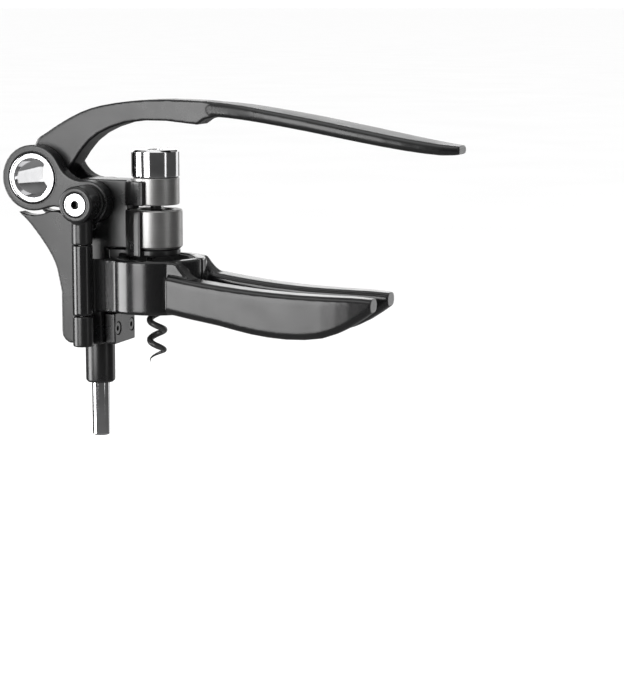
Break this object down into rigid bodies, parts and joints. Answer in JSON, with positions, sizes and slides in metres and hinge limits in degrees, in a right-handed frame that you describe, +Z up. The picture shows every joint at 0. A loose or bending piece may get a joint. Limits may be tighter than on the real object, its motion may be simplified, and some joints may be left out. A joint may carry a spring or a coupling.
{
  "type": "lever corkscrew",
  "caption": "Hand-held lever corkscrew: two squeezed grips clamp a bottle neck while an arched lever lowers and lifts a worm through a fixed nut.",
  "frame": {"origin": "On the axis of the worm and of the bottle neck, 3.9 mm below the jaws' underside", "axes": "+X from the hub to the ends of the handles, +Y from the near grip to the far grip, +Z up along the worm, away from the bottle"},
  "size_m": [0.2089, 0.0514, 0.1514],
  "materials": {
    "black_casting": "satin black coating on cast zinc alloy",
    "chrome": "bright chrome",
    "satin_steel": "satin nickel or brushed steel",
    "coated_worm": "dark non-stick coating",
    "black_plastic": "plain",
    "rubber": "plain"
  },
  "bodies": {
    "frame": {"frame_casting": "black_casting", "pivot_screw_near": "chrome", "pivot_screw_far": "chrome", "pivot_washer_near": "black_plastic", "pivot_washer_far": "black_plastic", "grip_pin_near": "satin_steel", "grip_pin_far": "satin_steel", "guide_sleeve": "black_casting", "guide_bush": "black_plastic", "nut_carrier": "black_casting", "carrier_screw_near": "satin_steel", "carrier_screw_far": "satin_steel", "nut_housing": "satin_steel", "nut_insert": "black_plastic"},
    "link": {"link_plate_near": "black_casting", "link_plate_far": "black_casting", "hub_tube": "chrome"},
    "lever": {"lever_arm": "black_casting", "wrist_pin": "satin_steel"},
    "carriage": {"carriage_block": "black_casting", "guide_rod": "chrome", "rod_screw": "satin_steel"},
    "screw": {"worm": "coated_worm", "head_body": "satin_steel", "head_cap": "chrome", "cap_screw": "satin_steel"},
    "near_grip": {"grip_near": "black_casting", "jaw_pad_near": "rubber"},
    "far_grip": {"grip_far": "black_casting", "jaw_pad_far": "rubber"}
  },
  "joints": [
    {"name": "link_swing", "type": "hinge", "parent": "frame", "child": "link", "pos_m": [-0.027, 0, 0.0516], "axis": [0, 1, 0], "range_deg": [0, 27.5]},
    {"name": "lever_lift", "type": "hinge", "parent": "link", "child": "lever", "pos_m": [-0.0538, 0, 0.0618], "axis": [0, -1, 0], "range_deg": [0, 98]},
    {"name": "carriage_slide", "type": "slide", "parent": "frame", "child": "carriage", "axis": [0, 0, 1], "range_m": [0, 0.049]},
    {"name": "screw_spin", "type": "hinge", "parent": "carriage", "child": "screw", "pos_m": [0, 0, 0.057], "axis": [0, 0, 1], "range_deg": [0, 1960]},
    {"name": "near_grip_open", "type": "hinge", "parent": "frame", "child": "near_grip", "pos_m": [-0.0265, -0.02, 0.018], "axis": [0, 0, -1], "range_deg": [0, 30]},
    {"name": "far_grip_open", "type": "hinge", "parent": "frame", "child": "far_grip", "pos_m": [-0.0265, 0.02, 0.018], "axis": [0, 0, 1], "range_deg": [0, 30]}
  ],
  "couplings": [
    {"joint": "link_swing", "follows": "lever_lift", "ratio": 0.2771},
    {"joint": "carriage_slide", "follows": "lever_lift", "m_per_rad": 0.028373},
    {"joint": "screw_spin", "follows": "lever_lift", "ratio": 19.808}
  ]
}
